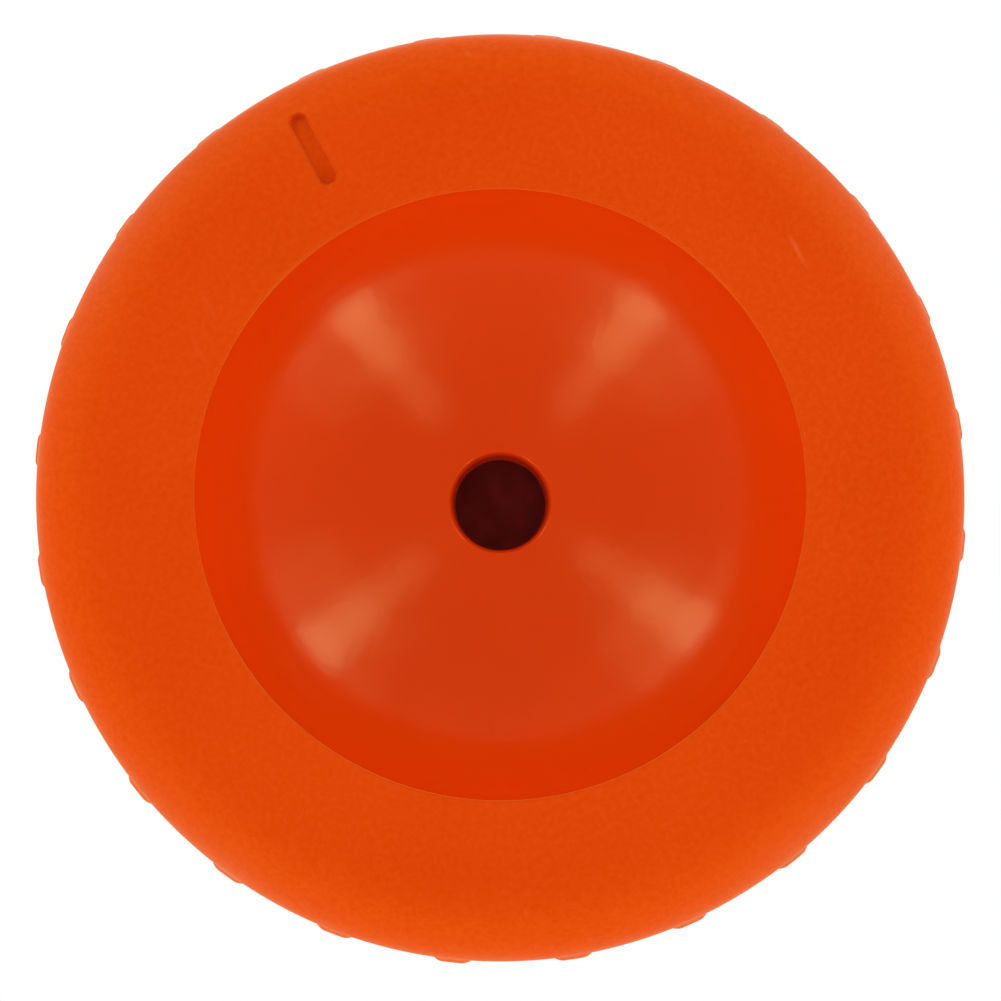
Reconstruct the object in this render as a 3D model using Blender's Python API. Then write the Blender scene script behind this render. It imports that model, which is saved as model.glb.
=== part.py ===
"""Self-standing dust blower for watch work.

A soft ribbed bulb stands on a flat ring at z = 0. A dished cup closes its base and carries the
intake valve. A rigid socket in its neck carries the outlet valve and the push-in nozzle, which
points up along +Z. Every piece is turned about the Z axis. Sizes are in metres.
"""

import math

import bmesh
import bpy
from mathutils import Matrix, Vector

FIT_GAP = 0.0003            # gap left between two pieces that touch

# Bulb: the soft outer body
SHOULDER_RADIUS = 0.0300    # widest plain round, at the foot
SHOULDER_WIDTH = 0.0053     # how far the foot's rounding reaches inwards
SHOULDER_HEIGHT = 0.0037    # height of the widest round above the standing ring
FOOT_WIDTH = 0.0050         # flat ring that the blower stands on
BULB_HEIGHT = 0.0800        # standing ring to the neck's top face
NECK_LENGTH = 0.0075        # straight part of the neck
NECK_WALL = 0.0033
NECK_EDGE = 0.0008          # rounding of the neck's top edge
NECK_FILLET = 0.0050        # how softly the dome turns into the neck
BULB_WALL = 0.0028
DOME_FULLNESS = 2.2         # 2 is an ellipse, more is squarer
LIP_THICKNESS = 0.0009      # soft lip that covers the base cup's flange
LIP_EDGE = 0.0003
BEAD_HEIGHT = 0.0016        # inner bead that holds the flange from above
BEAD_SLOPE = 0.0055         # height over which the bead runs out into the wall

# Grip: narrow lands with wide shallow flutes between them
LAND_COUNT = 24
LAND_WIDTH = 0.0016
LAND_RISE = 0.00025         # lands stand this far past the shoulder
LAND_RUN_IN = 0.0010        # height over which they rise to it
LAND_PHASE = math.radians(4.4)
FLUTE_DEPTH = 0.0009
FLUTE_WALL = 0.0012         # width of the slope from a land to the flute's floor
GRIP_START = 0.0004         # above the widest round
GRIP_RUN_IN = 0.0030
GRIP_LEAD = 0.35            # share of the run-in already passed where the flutes start
GRIP_MARGIN = 0.0130        # below the dome's top
GRIP_RUN_OUT = 0.0110

# Index slot in the foot
SLOT_LENGTH = 0.00500
SLOT_WIDTH = 0.00116
SLOT_INSET = 0.00475        # from the shoulder's widest round to the slot's middle
SLOT_FLOOR = 0.00065        # floor height at the slot's middle
SLOT_TILT = math.radians(9.0)
SLOT_AZIMUTH = math.radians(-90.0)

# Base cup with its dish and the boss for the intake valve
DISH_DEPTH = 0.0120
CUP_WALL = 0.0018
FLANGE_WIDTH = 0.0032
FLANGE_THICKNESS = 0.0018
HOLE_RADIUS = 0.0030
HOLE_LIP = 0.0005
HOLE_LENGTH = 0.0030        # dish surface at the axis to the boss floor
BOSS_WALL = 0.0017
SNAP_LIP = 0.0007           # inward lip that keeps the valve in the boss
SNAP_HEIGHT = 0.0008

# Intake valve
SEAT_STEP = 0.0002          # seat bore over the cup's hole, on the radius
SEAT_THICKNESS = 0.0015
SEAT_LIP_WIDTH = 0.0007
SEAT_LIP_HEIGHT = 0.0005
SEAT_LIP_BEVEL = 0.00018    # on both sides of the lip's top
DISC_OVERLAP = 0.0005       # disc past the seat's lip, on the radius
DISC_THICKNESS = 0.0010
DISC_EDGE = 0.0002
DISC_LIFT = 0.0012
CAGE_SIDE_GAP = 0.0012      # air gap round the disc
CAGE_WALL = 0.0010
CAGE_TOP = 0.0012
CAGE_WEB = 0.0009
CAGE_PORTS = 4

# Neck socket, collar and outlet valve
SOCKET_WALL = 0.0017
SOCKET_FLANGE = 0.0020
SOCKET_FLANGE_EDGE = 0.0006
SOCKET_CHAMFER = 0.0006
SOCKET_TAIL = 0.0030
BARB_HEIGHT = 0.0020
BARB_WIDTH = 0.0011
BARB_LAND = 0.0005          # straight edge at the top of the barb
BARB_DROP = 0.0030          # below the start of the neck's bore
COLLAR_WALL = 0.0016
COLLAR_HEIGHT = 0.0050
COLLAR_INSET = 0.0010       # below the neck's top face
COLLAR_CHAMFER = 0.0004
BALL_RADIUS = 0.0022
BALL_SIDE_GAP = 0.0006
BALL_LIFT = 0.0015
THROAT_RADIUS = 0.0014
STOP_THICKNESS = 0.0012
STOP_PORTS = 3
STOP_WEB = 0.0006

# Nozzle, its seal and its tip
PLUG_RADIUS = 0.0039
PLUG_LENGTH = 0.0090
PLUG_CHAMFER = 0.0004
NOZZLE_FLANGE_RADIUS = 0.0078
NOZZLE_FLANGE = 0.0018
NOZZLE_FLANGE_EDGE = 0.0007
HUB_RADIUS = 0.0056
HUB_LENGTH = 0.0070
NOZZLE_LENGTH = 0.0440      # above the flange
NOZZLE_END_RADIUS = 0.0027
NOZZLE_TAPER = 1.6          # 1 is a straight cone, more draws in sooner
NOZZLE_BORE = 0.0013
SEAL_THICKNESS = 0.0012
SEAL_DEPTH = 0.0040         # seal's middle below the nozzle's flange
TIP_RADIUS = 0.0015
TIP_WALL = 0.0004
TIP_HOLD = 0.0080           # length inside the nozzle
TIP_REACH = 0.0080          # length in front of the nozzle

# Facets
FINE = 40                   # sides of the large turned pieces
COARSE = 28                 # sides of the small ones
TIP_SIDES = 20
BALL_SIDES = 18
PORT_SIDES = 12
BALL_STEPS = 10             # rows from pole to pole
SEAL_STEPS = 8              # sides of the seal's own section
SHOULDER_STEPS = 5
DOME_STEPS = 14
CAVITY_STEPS = 11
DISH_STEPS = 9
CUP_BACK_STEPS = 5
NOZZLE_STEPS = 7
SLOT_END_STEPS = 6
EDGE_STEPS = 3              # steps of every small rounding
SHARP_ANGLE = math.radians(30.0)
CUT_PAST = 0.001            # how far a cutter reaches past the piece
SLOT_CUTTER_DEPTH = 0.004

# Radii and heights that follow from the sizes above
FOOT_RADIUS = SHOULDER_RADIUS - SHOULDER_WIDTH
MOUTH_RADIUS = FOOT_RADIUS - FOOT_WIDTH
LAND_RADIUS = SHOULDER_RADIUS + LAND_RISE
DOME_HEIGHT = BULB_HEIGHT - NECK_LENGTH - SHOULDER_HEIGHT
DOME_TOP = SHOULDER_HEIGHT + DOME_HEIGHT

FLANGE_RADIUS = MOUTH_RADIUS + FLANGE_WIDTH
FLANGE_BOTTOM = LIP_THICKNESS + FIT_GAP
FLANGE_TOP = FLANGE_BOTTOM + FLANGE_THICKNESS
BOSS_FLOOR = DISH_DEPTH + HOLE_LENGTH

SEAT_BORE = HOLE_RADIUS + SEAT_STEP
SEAT_LIP_RADIUS = SEAT_BORE + SEAT_LIP_WIDTH
DISC_RADIUS = SEAT_LIP_RADIUS + DISC_OVERLAP
CAGE_BORE = DISC_RADIUS + CAGE_SIDE_GAP
CAGE_RADIUS = CAGE_BORE + CAGE_WALL
BOSS_BORE = CAGE_RADIUS + FIT_GAP
BOSS_RADIUS = BOSS_BORE + BOSS_WALL
SEAT_BOTTOM = BOSS_FLOOR + FIT_GAP
SEAT_TOP = SEAT_BOTTOM + SEAT_THICKNESS
SEAT_LIP_TOP = SEAT_TOP + SEAT_LIP_HEIGHT
DISC_BOTTOM = SEAT_LIP_TOP + FIT_GAP
DISC_TOP = DISC_BOTTOM + DISC_THICKNESS
CAGE_BOTTOM = SEAT_TOP + FIT_GAP
CAGE_CEILING = DISC_TOP + DISC_LIFT + FIT_GAP
CAGE_END = CAGE_CEILING + CAGE_TOP
SNAP_BOTTOM = CAGE_END + FIT_GAP
BOSS_TOP = SNAP_BOTTOM + SNAP_HEIGHT

SOCKET_BORE = PLUG_RADIUS + FIT_GAP
SOCKET_RADIUS = SOCKET_BORE + SOCKET_WALL
NECK_BORE = SOCKET_RADIUS + FIT_GAP
NECK_RADIUS = NECK_BORE + NECK_WALL
SOCKET_FLANGE_BOTTOM = BULB_HEIGHT + FIT_GAP
SOCKET_TOP = SOCKET_FLANGE_BOTTOM + SOCKET_FLANGE
NOZZLE_FLANGE_BOTTOM = SOCKET_TOP + FIT_GAP
PLUG_BOTTOM = NOZZLE_FLANGE_BOTTOM - PLUG_LENGTH
STOP_TOP = PLUG_BOTTOM - FIT_GAP
STOP_BOTTOM = STOP_TOP - STOP_THICKNESS
CHAMBER_TOP = STOP_BOTTOM - FIT_GAP
CHAMBER_RADIUS = BALL_RADIUS + BALL_SIDE_GAP
BALL_CENTRE = STOP_BOTTOM - FIT_GAP - BALL_LIFT - BALL_RADIUS
CONE_APEX = BALL_CENTRE - (BALL_RADIUS + FIT_GAP) * math.sqrt(2.0)
THROAT_TOP = CONE_APEX + THROAT_RADIUS
CHAMBER_BOTTOM = CONE_APEX + CHAMBER_RADIUS
INNER_DOME_TOP = DOME_TOP - BULB_WALL
BARB_TOP = INNER_DOME_TOP - BARB_DROP
BARB_BOTTOM = BARB_TOP - BARB_HEIGHT
SOCKET_BOTTOM = min(THROAT_TOP, BARB_BOTTOM) - SOCKET_TAIL

COLLAR_TOP = BULB_HEIGHT - COLLAR_INSET
COLLAR_BORE = NECK_RADIUS + FIT_GAP

HUB_BOTTOM = NOZZLE_FLANGE_BOTTOM + NOZZLE_FLANGE
HUB_TOP = HUB_BOTTOM + HUB_LENGTH
NOZZLE_TOP = HUB_BOTTOM + NOZZLE_LENGTH
SEAL_RING_RADIUS = PLUG_RADIUS - SEAL_THICKNESS / 2.0
SEAL_HEIGHT = NOZZLE_FLANGE_BOTTOM - SEAL_DEPTH
GROOVE_RADIUS = PLUG_RADIUS - SEAL_THICKNESS - FIT_GAP
GROOVE_HALF = SEAL_THICKNESS / 2.0 + FIT_GAP
TIP_BORE = TIP_RADIUS - TIP_WALL
TIP_SOCKET_RADIUS = TIP_RADIUS + FIT_GAP
TIP_BOTTOM = NOZZLE_TOP - TIP_HOLD


# Curves ----------------------------------------------------------------------------------------

def smooth_step(value):
    value = min(max(value, 0.0), 1.0)
    return value * value * (3.0 - 2.0 * value)


def smooth_max(first, second, reach):
    """The larger of two radii, with a fillet of the given reach where they cross."""
    near = max(reach - abs(first - second), 0.0) / reach
    return max(first, second) + near * near * reach / 4.0


def ellipse_radius(radius, height, z):
    """Radius of an upright ellipse about the origin, at height z."""
    return radius * math.sqrt(1.0 - (z / height) ** 2)


def ellipse_height(radius, height, r):
    return height * math.sqrt(1.0 - (r / radius) ** 2)


def dome_radius(z, inset):
    """Radius of the dome above the shoulder, drawn in by inset all round."""
    share = (z - SHOULDER_HEIGHT) / (DOME_HEIGHT - inset)
    share = min(max(share, 0.0), 1.0)
    return (LAND_RADIUS - inset) * (1.0 - share ** DOME_FULLNESS) ** (1.0 / DOME_FULLNESS)


def dome_levels(start, top, steps):
    """Heights from start to top that lie closer together as the dome turns over."""
    turns = [index / steps * math.pi / 2.0 for index in range(steps + 1)]
    return [start + (top - start) * math.sin(turn) for turn in turns]


def arc(centre, radius, start, end, steps):
    """Points on a circle in the (r, z) plane, with angles in degrees."""
    points = []
    for index in range(steps + 1):
        angle = math.radians(start + (end - start) * index / steps)
        points.append((centre[0] + radius * math.cos(angle), centre[1] + radius * math.sin(angle)))
    return points


# Meshes and objects ----------------------------------------------------------------------------

def clear_scene():
    for obj in list(bpy.data.objects):
        bpy.data.objects.remove(obj, do_unlink=True)


def make_object(name, mesh, datum):
    """Close the mesh data into an object whose origin is on the axis, at height datum."""
    bmesh.ops.recalc_face_normals(mesh, faces=mesh.faces)
    bmesh.ops.translate(mesh, verts=mesh.verts, vec=(0.0, 0.0, -datum))
    data = bpy.data.meshes.new(name)
    mesh.to_mesh(data)
    mesh.free()
    data.shade_smooth()
    data.set_sharp_from_angle(angle=SHARP_ANGLE)
    obj = bpy.data.objects.new(name, data)
    obj.location = (0.0, 0.0, datum)
    bpy.context.scene.collection.objects.link(obj)
    return obj


def add_ring(mesh, radii_and_angles, z):
    ring = []
    for radius, angle in radii_and_angles:
        ring.append(mesh.verts.new((radius * math.cos(angle), radius * math.sin(angle), z)))
    return ring


def join_rings(mesh, lower, upper):
    count = len(lower)
    for index in range(count):
        after = (index + 1) % count
        mesh.faces.new((lower[index], lower[after], upper[after], upper[index]))


def turned(name, profile, sides, datum=0.0):
    """Turn a closed (r, z) outline about the Z axis; an outline that starts at r = 0 has end caps."""
    mesh = bmesh.new()
    angles = [2.0 * math.pi * index / sides for index in range(sides)]
    capped = profile[0][0] == 0.0
    outline = profile[1:-1] if capped else profile
    rings = [add_ring(mesh, [(r, angle) for angle in angles], z) for r, z in outline]
    for lower, upper in zip(rings, rings[1:]):
        join_rings(mesh, lower, upper)
    if capped:
        for ring, z in ((rings[0], profile[0][1]), (rings[-1], profile[-1][1])):
            pole = mesh.verts.new((0.0, 0.0, z))
            for index in range(sides):
                mesh.faces.new((ring[index], ring[(index + 1) % sides], pole))
    else:
        join_rings(mesh, rings[-1], rings[0])
    return make_object(name, mesh, datum)


def cut(target, cutter):
    """Take the cutter's shape out of the target."""
    modifier = target.modifiers.new("cut_" + cutter.name, "BOOLEAN")
    modifier.operation = "DIFFERENCE"
    modifier.solver = "EXACT"
    modifier.object = cutter
    cutter.hide_render = True
    cutter.display_type = "WIRE"


def finish(obj, colour, roughness, metallic=0.0):
    """Give the object its own material; colour is linear RGB."""
    material = bpy.data.materials.new(obj.name + "_finish")
    material.use_nodes = True
    shader = material.node_tree.nodes["Principled BSDF"]
    shader.inputs["Base Color"].default_value = (*colour, 1.0)
    shader.inputs["Roughness"].default_value = roughness
    shader.inputs["Metallic"].default_value = metallic
    material.diffuse_color = (*colour, 1.0)
    obj.data.materials.append(material)


# Bulb ------------------------------------------------------------------------------------------

def land_radius(z):
    """Radius over the lands above the shoulder, turning into the neck at the top."""
    start = SHOULDER_HEIGHT + GRIP_START
    rise = LAND_RISE * (1.0 - smooth_step((z - start) / LAND_RUN_IN))
    return smooth_max(dome_radius(z, 0.0), NECK_RADIUS, NECK_FILLET) - rise


def grip_share(z):
    """How deep the flutes are at height z, from 0 to 1."""
    start = SHOULDER_HEIGHT + GRIP_START
    end = DOME_TOP - GRIP_MARGIN
    run_in = smooth_step((z - start) / GRIP_RUN_IN + GRIP_LEAD)
    run_out = smooth_step((end - z) / GRIP_RUN_OUT)
    return run_in * run_out


def bulb_rows():
    """The bulb's outer outline, bottom to top, as (land radius, height, flute depth)."""
    rows = []
    for index in range(SHOULDER_STEPS):
        turn = index / SHOULDER_STEPS * math.pi / 2.0
        radius = FOOT_RADIUS + SHOULDER_WIDTH * math.sin(turn)
        rows.append((radius, SHOULDER_HEIGHT * (1.0 - math.cos(turn)), 0.0))
    rows.append((SHOULDER_RADIUS, SHOULDER_HEIGHT, 0.0))
    first = SHOULDER_HEIGHT + GRIP_START
    levels = [first, first + LAND_RUN_IN] + dome_levels(first + GRIP_RUN_IN, DOME_TOP, DOME_STEPS)
    for z in levels:
        rows.append((land_radius(z), z, FLUTE_DEPTH * grip_share(z)))
    edge_centre = (NECK_RADIUS - NECK_EDGE, BULB_HEIGHT - NECK_EDGE)
    for radius, z in arc(edge_centre, NECK_EDGE, 0.0, 90.0, EDGE_STEPS):
        rows.append((radius, z, 0.0))
    return rows


def grip_angles():
    """(angle, on land) for every column of vertices round the bulb."""
    columns = []
    pitch = 2.0 * math.pi / LAND_COUNT
    land = LAND_WIDTH / LAND_RADIUS / 2.0
    floor = land + FLUTE_WALL / LAND_RADIUS
    for index in range(LAND_COUNT):
        middle = LAND_PHASE + index * pitch
        columns.append((middle - land, True))
        columns.append((middle + land, True))
        columns.append((middle + floor, False))
        columns.append((middle + pitch - floor, False))
    return columns


def bulb_cavity_profile():
    """Everything inside the soft wall, from below the mouth to above the neck."""
    edge_radius = MOUTH_RADIUS + LIP_EDGE
    profile = [(0.0, -CUT_PAST), (edge_radius, -CUT_PAST)]
    profile += arc((edge_radius, LIP_EDGE), LIP_EDGE, -90.0, -180.0, EDGE_STEPS)
    profile.append((ellipse_radius(MOUTH_RADIUS, DISH_DEPTH, LIP_THICKNESS), LIP_THICKNESS))
    groove_radius = FLANGE_RADIUS + FIT_GAP
    groove_top = FLANGE_TOP + FIT_GAP
    profile += [(groove_radius, LIP_THICKNESS), (groove_radius, groove_top)]
    bead_radius = cup_back_radius(FLANGE_TOP) + FIT_GAP
    bead_top = groove_top + BEAD_HEIGHT
    profile += [(bead_radius, groove_top), (bead_radius, bead_top)]
    for z in dome_levels(bead_top + BEAD_SLOPE, INNER_DOME_TOP, CAVITY_STEPS):
        profile.append((smooth_max(dome_radius(z, BULB_WALL), NECK_BORE, NECK_FILLET / 2.0), z))
    top = BULB_HEIGHT + CUT_PAST
    profile += [(NECK_BORE, top), (0.0, top)]
    return profile


def slot_cutter():
    """A round-ended bar along the radius, tilted to follow the foot's rounding."""
    half = SLOT_WIDTH / 2.0
    straight = SLOT_LENGTH / 2.0 - half
    outline = []
    for end, start in ((straight, -90.0), (-straight, 90.0)):
        outline += arc((end, 0.0), half, start, start + 180.0, SLOT_END_STEPS)
    mesh = bmesh.new()
    below = [mesh.verts.new((x, y, -SLOT_CUTTER_DEPTH)) for x, y in outline]
    above = [mesh.verts.new((x, y, 0.0)) for x, y in outline]
    mesh.faces.new(below)
    mesh.faces.new(above)
    join_rings(mesh, below, above)
    cutter = make_object("slot_cutter", mesh, 0.0)
    place = Matrix.Translation(Vector((SHOULDER_RADIUS - SLOT_INSET, 0.0, SLOT_FLOOR)))
    tilt = Matrix.Rotation(-SLOT_TILT, 4, "Y")
    cutter.matrix_world = Matrix.Rotation(SLOT_AZIMUTH, 4, "Z") @ place @ tilt
    return cutter


def make_bulb_body():
    mesh = bmesh.new()
    columns = grip_angles()
    rings = []
    for radius, z, depth in bulb_rows():
        outline = [(radius if on_land else radius - depth, angle) for angle, on_land in columns]
        rings.append(add_ring(mesh, outline, z))
    for lower, upper in zip(rings, rings[1:]):
        join_rings(mesh, lower, upper)
    mesh.faces.new(rings[0])
    mesh.faces.new(rings[-1])
    bulb = make_object("bulb_body", mesh, 0.0)
    cut(bulb, turned("bulb_cavity_cutter", bulb_cavity_profile(), FINE))
    cut(bulb, slot_cutter())
    finish(bulb, (0.723, 0.061, 0.004), 0.62)


# Base cup --------------------------------------------------------------------------------------

def dish_height(r):
    """Height of the dish's surface at radius r."""
    return ellipse_height(MOUTH_RADIUS, DISH_DEPTH, r)


def cup_back_radius(z):
    return ellipse_radius(MOUTH_RADIUS + CUP_WALL, DISH_DEPTH + CUP_WALL, z)


def cup_back_height(r):
    return ellipse_height(MOUTH_RADIUS + CUP_WALL, DISH_DEPTH + CUP_WALL, r)


def make_base_cup():
    lip_start = HOLE_RADIUS + HOLE_LIP
    profile = [(HOLE_RADIUS, BOSS_FLOOR)]
    profile += arc((lip_start, dish_height(lip_start) + HOLE_LIP), HOLE_LIP, 180.0, 270.0, EDGE_STEPS)
    rim_radius = ellipse_radius(MOUTH_RADIUS, DISH_DEPTH, FLANGE_BOTTOM)
    inner_turn = math.asin(lip_start / MOUTH_RADIUS)
    outer_turn = math.asin(rim_radius / MOUTH_RADIUS)
    for index in range(1, DISH_STEPS + 1):
        turn = inner_turn + (outer_turn - inner_turn) * index / DISH_STEPS
        radius = MOUTH_RADIUS * math.sin(turn)
        profile.append((radius, dish_height(radius)))
    profile += [(FLANGE_RADIUS, FLANGE_BOTTOM), (FLANGE_RADIUS, FLANGE_TOP)]
    back_start = cup_back_radius(FLANGE_TOP)
    for index in range(CUP_BACK_STEPS + 1):
        turn = index / CUP_BACK_STEPS * math.pi / 2.0
        radius = back_start + (BOSS_RADIUS - back_start) * math.sin(turn)
        profile.append((radius, cup_back_height(radius)))
    profile += [(BOSS_RADIUS, BOSS_TOP), (BOSS_BORE - SNAP_LIP, BOSS_TOP)]
    profile += [(BOSS_BORE - SNAP_LIP, SNAP_BOTTOM), (BOSS_BORE, SNAP_BOTTOM), (BOSS_BORE, BOSS_FLOOR)]
    cup = turned("base_cup", profile, FINE, FLANGE_BOTTOM)
    finish(cup, (0.68, 0.050, 0.003), 0.28)


# Intake valve ----------------------------------------------------------------------------------

def make_intake_seat():
    profile = [
        (SEAT_BORE, SEAT_BOTTOM),
        (CAGE_RADIUS, SEAT_BOTTOM),
        (CAGE_RADIUS, SEAT_TOP),
        (SEAT_LIP_RADIUS, SEAT_TOP),
        (SEAT_LIP_RADIUS - SEAT_LIP_BEVEL, SEAT_LIP_TOP),
        (SEAT_BORE + SEAT_LIP_BEVEL, SEAT_LIP_TOP),
        (SEAT_BORE, SEAT_TOP),
    ]
    seat = turned("intake_valve_seat", profile, COARSE, SEAT_BOTTOM)
    finish(seat, (0.42, 0.033, 0.004), 0.4)


def make_intake_disc():
    profile = [
        (0.0, DISC_BOTTOM),
        (DISC_RADIUS - DISC_EDGE, DISC_BOTTOM),
        (DISC_RADIUS, DISC_BOTTOM + DISC_EDGE),
        (DISC_RADIUS, DISC_TOP - DISC_EDGE),
        (DISC_RADIUS - DISC_EDGE, DISC_TOP),
        (0.0, DISC_TOP),
    ]
    disc = turned("intake_valve_disc", profile, COARSE, DISC_BOTTOM)
    finish(disc, (0.10, 0.012, 0.008), 0.5)


def cut_ports(plate, count, radius, reach, bottom, top):
    """Round ports through a plate, evenly spaced about the axis."""
    for index in range(count):
        port = turned(
            f"{plate.name}_port_cutter_{index + 1}",
            [(0.0, bottom), (radius, bottom), (radius, top), (0.0, top)],
            PORT_SIDES,
        )
        angle = 2.0 * math.pi * index / count
        port.location = (reach * math.cos(angle), reach * math.sin(angle), 0.0)
        cut(plate, port)


def port_radius(outer, count, web):
    """The largest port that leaves a web between neighbours and ends at the outer radius."""
    half_pitch = math.sin(math.pi / count)
    return (outer * half_pitch - web / 2.0) / (1.0 + half_pitch)


def make_intake_cage():
    profile = [
        (0.0, CAGE_CEILING),
        (CAGE_BORE, CAGE_CEILING),
        (CAGE_BORE, CAGE_BOTTOM),
        (CAGE_RADIUS, CAGE_BOTTOM),
        (CAGE_RADIUS, CAGE_END),
        (0.0, CAGE_END),
    ]
    cage = turned("intake_valve_cage", profile, COARSE, CAGE_BOTTOM)
    outer = DISC_RADIUS + CAGE_SIDE_GAP / 2.0
    radius = port_radius(outer, CAGE_PORTS, CAGE_WEB)
    past = CAGE_TOP / 2.0
    cut_ports(cage, CAGE_PORTS, radius, outer - radius, CAGE_CEILING - past, CAGE_END + past)
    finish(cage, (0.03, 0.03, 0.032), 0.45)


# Neck socket, collar and outlet valve ----------------------------------------------------------

def make_neck_socket():
    profile = [
        (THROAT_RADIUS, SOCKET_BOTTOM),
        (SOCKET_RADIUS - SOCKET_CHAMFER, SOCKET_BOTTOM),
        (SOCKET_RADIUS, SOCKET_BOTTOM + SOCKET_CHAMFER),
        (SOCKET_RADIUS, BARB_BOTTOM),
        (SOCKET_RADIUS + BARB_WIDTH, BARB_TOP - BARB_LAND),
        (SOCKET_RADIUS + BARB_WIDTH, BARB_TOP),
        (SOCKET_RADIUS, BARB_TOP),
        (SOCKET_RADIUS, SOCKET_FLANGE_BOTTOM),
        (NECK_RADIUS, SOCKET_FLANGE_BOTTOM),
    ]
    edge = SOCKET_FLANGE_EDGE
    profile += arc((NECK_RADIUS - edge, SOCKET_TOP - edge), edge, 0.0, 90.0, EDGE_STEPS)
    profile += [
        (SOCKET_BORE, SOCKET_TOP),
        (SOCKET_BORE, CHAMBER_TOP),
        (CHAMBER_RADIUS, CHAMBER_TOP),
        (CHAMBER_RADIUS, CHAMBER_BOTTOM),
        (THROAT_RADIUS, THROAT_TOP),
    ]
    socket = turned("neck_socket", profile, COARSE, SOCKET_FLANGE_BOTTOM)
    finish(socket, (0.03, 0.03, 0.032), 0.4)


def make_neck_collar():
    bottom = COLLAR_TOP - COLLAR_HEIGHT
    outer = COLLAR_BORE + COLLAR_WALL
    profile = [
        (COLLAR_BORE, bottom),
        (outer - COLLAR_CHAMFER, bottom),
        (outer, bottom + COLLAR_CHAMFER),
        (outer, COLLAR_TOP - COLLAR_CHAMFER),
        (outer - COLLAR_CHAMFER, COLLAR_TOP),
        (COLLAR_BORE, COLLAR_TOP),
    ]
    collar = turned("neck_collar", profile, FINE, bottom)
    finish(collar, (0.03, 0.03, 0.032), 0.35)


def make_outlet_ball():
    profile = arc((0.0, BALL_CENTRE), BALL_RADIUS, -90.0, 90.0, BALL_STEPS)
    profile[0] = (0.0, BALL_CENTRE - BALL_RADIUS)
    profile[-1] = (0.0, BALL_CENTRE + BALL_RADIUS)
    ball = turned("outlet_valve_ball", profile, BALL_SIDES, BALL_CENTRE)
    finish(ball, (0.55, 0.56, 0.57), 0.15, 1.0)


def make_outlet_stop():
    radius = SOCKET_BORE - FIT_GAP
    profile = [(0.0, STOP_BOTTOM), (radius, STOP_BOTTOM), (radius, STOP_TOP), (0.0, STOP_TOP)]
    stop = turned("outlet_valve_stop", profile, COARSE, STOP_BOTTOM)
    outer = radius - STOP_WEB
    port = port_radius(outer, STOP_PORTS, STOP_WEB)
    past = STOP_THICKNESS / 2.0
    cut_ports(stop, STOP_PORTS, port, outer - port, STOP_BOTTOM - past, STOP_TOP + past)
    finish(stop, (0.03, 0.03, 0.032), 0.45)


# Nozzle ----------------------------------------------------------------------------------------

def make_nozzle_seal():
    radius = SEAL_THICKNESS / 2.0
    profile = arc((SEAL_RING_RADIUS, SEAL_HEIGHT), radius, 0.0, 360.0, SEAL_STEPS)[:-1]
    seal = turned("nozzle_seal", profile, COARSE, SEAL_HEIGHT)
    finish(seal, (0.02, 0.02, 0.02), 0.55)


def make_nozzle_body():
    bore_top = TIP_BOTTOM - FIT_GAP
    profile = [
        (NOZZLE_BORE, PLUG_BOTTOM),
        (PLUG_RADIUS - PLUG_CHAMFER, PLUG_BOTTOM),
        (PLUG_RADIUS, PLUG_BOTTOM + PLUG_CHAMFER),
        (PLUG_RADIUS, SEAL_HEIGHT - GROOVE_HALF),
        (GROOVE_RADIUS, SEAL_HEIGHT - GROOVE_HALF),
        (GROOVE_RADIUS, SEAL_HEIGHT + GROOVE_HALF),
        (PLUG_RADIUS, SEAL_HEIGHT + GROOVE_HALF),
        (PLUG_RADIUS, NOZZLE_FLANGE_BOTTOM),
        (NOZZLE_FLANGE_RADIUS, NOZZLE_FLANGE_BOTTOM),
    ]
    edge = NOZZLE_FLANGE_EDGE
    profile += arc((NOZZLE_FLANGE_RADIUS - edge, HUB_BOTTOM - edge), edge, 0.0, 90.0, EDGE_STEPS)
    profile += [(HUB_RADIUS, HUB_BOTTOM), (HUB_RADIUS, HUB_TOP)]
    for index in range(1, NOZZLE_STEPS + 1):
        share = index / NOZZLE_STEPS
        narrowing = (1.0 - share) ** NOZZLE_TAPER
        radius = NOZZLE_END_RADIUS + (HUB_RADIUS - NOZZLE_END_RADIUS) * narrowing
        profile.append((radius, HUB_TOP + (NOZZLE_TOP - HUB_TOP) * share))
    profile += [
        (TIP_SOCKET_RADIUS, NOZZLE_TOP),
        (TIP_SOCKET_RADIUS, bore_top),
        (NOZZLE_BORE, bore_top),
    ]
    nozzle = turned("nozzle_body", profile, COARSE, NOZZLE_FLANGE_BOTTOM)
    finish(nozzle, (0.03, 0.03, 0.032), 0.32)


def make_nozzle_tip():
    top = NOZZLE_TOP + TIP_REACH
    chamfer = TIP_WALL / 2.0
    profile = [
        (TIP_BORE, TIP_BOTTOM),
        (TIP_RADIUS, TIP_BOTTOM),
        (TIP_RADIUS, top - chamfer),
        (TIP_RADIUS - chamfer, top),
        (TIP_BORE, top),
    ]
    tip = turned("nozzle_tip", profile, TIP_SIDES, TIP_BOTTOM)
    finish(tip, (0.78, 0.55, 0.22), 0.25, 1.0)


def build():
    clear_scene()
    make_bulb_body()
    make_base_cup()
    make_intake_seat()
    make_intake_disc()
    make_intake_cage()
    make_neck_socket()
    make_neck_collar()
    make_outlet_ball()
    make_outlet_stop()
    make_nozzle_seal()
    make_nozzle_body()
    make_nozzle_tip()


build()
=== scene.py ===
"""Looks of the self-standing dust blower: soft ribbed bulb, glossy dished base and black nozzle.

Everything is in metres in the CAD frame: the blower stands on z = 0 and points up along +Z.
"""

import math

import bmesh
import bpy
from mathutils import Matrix, Vector


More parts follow.
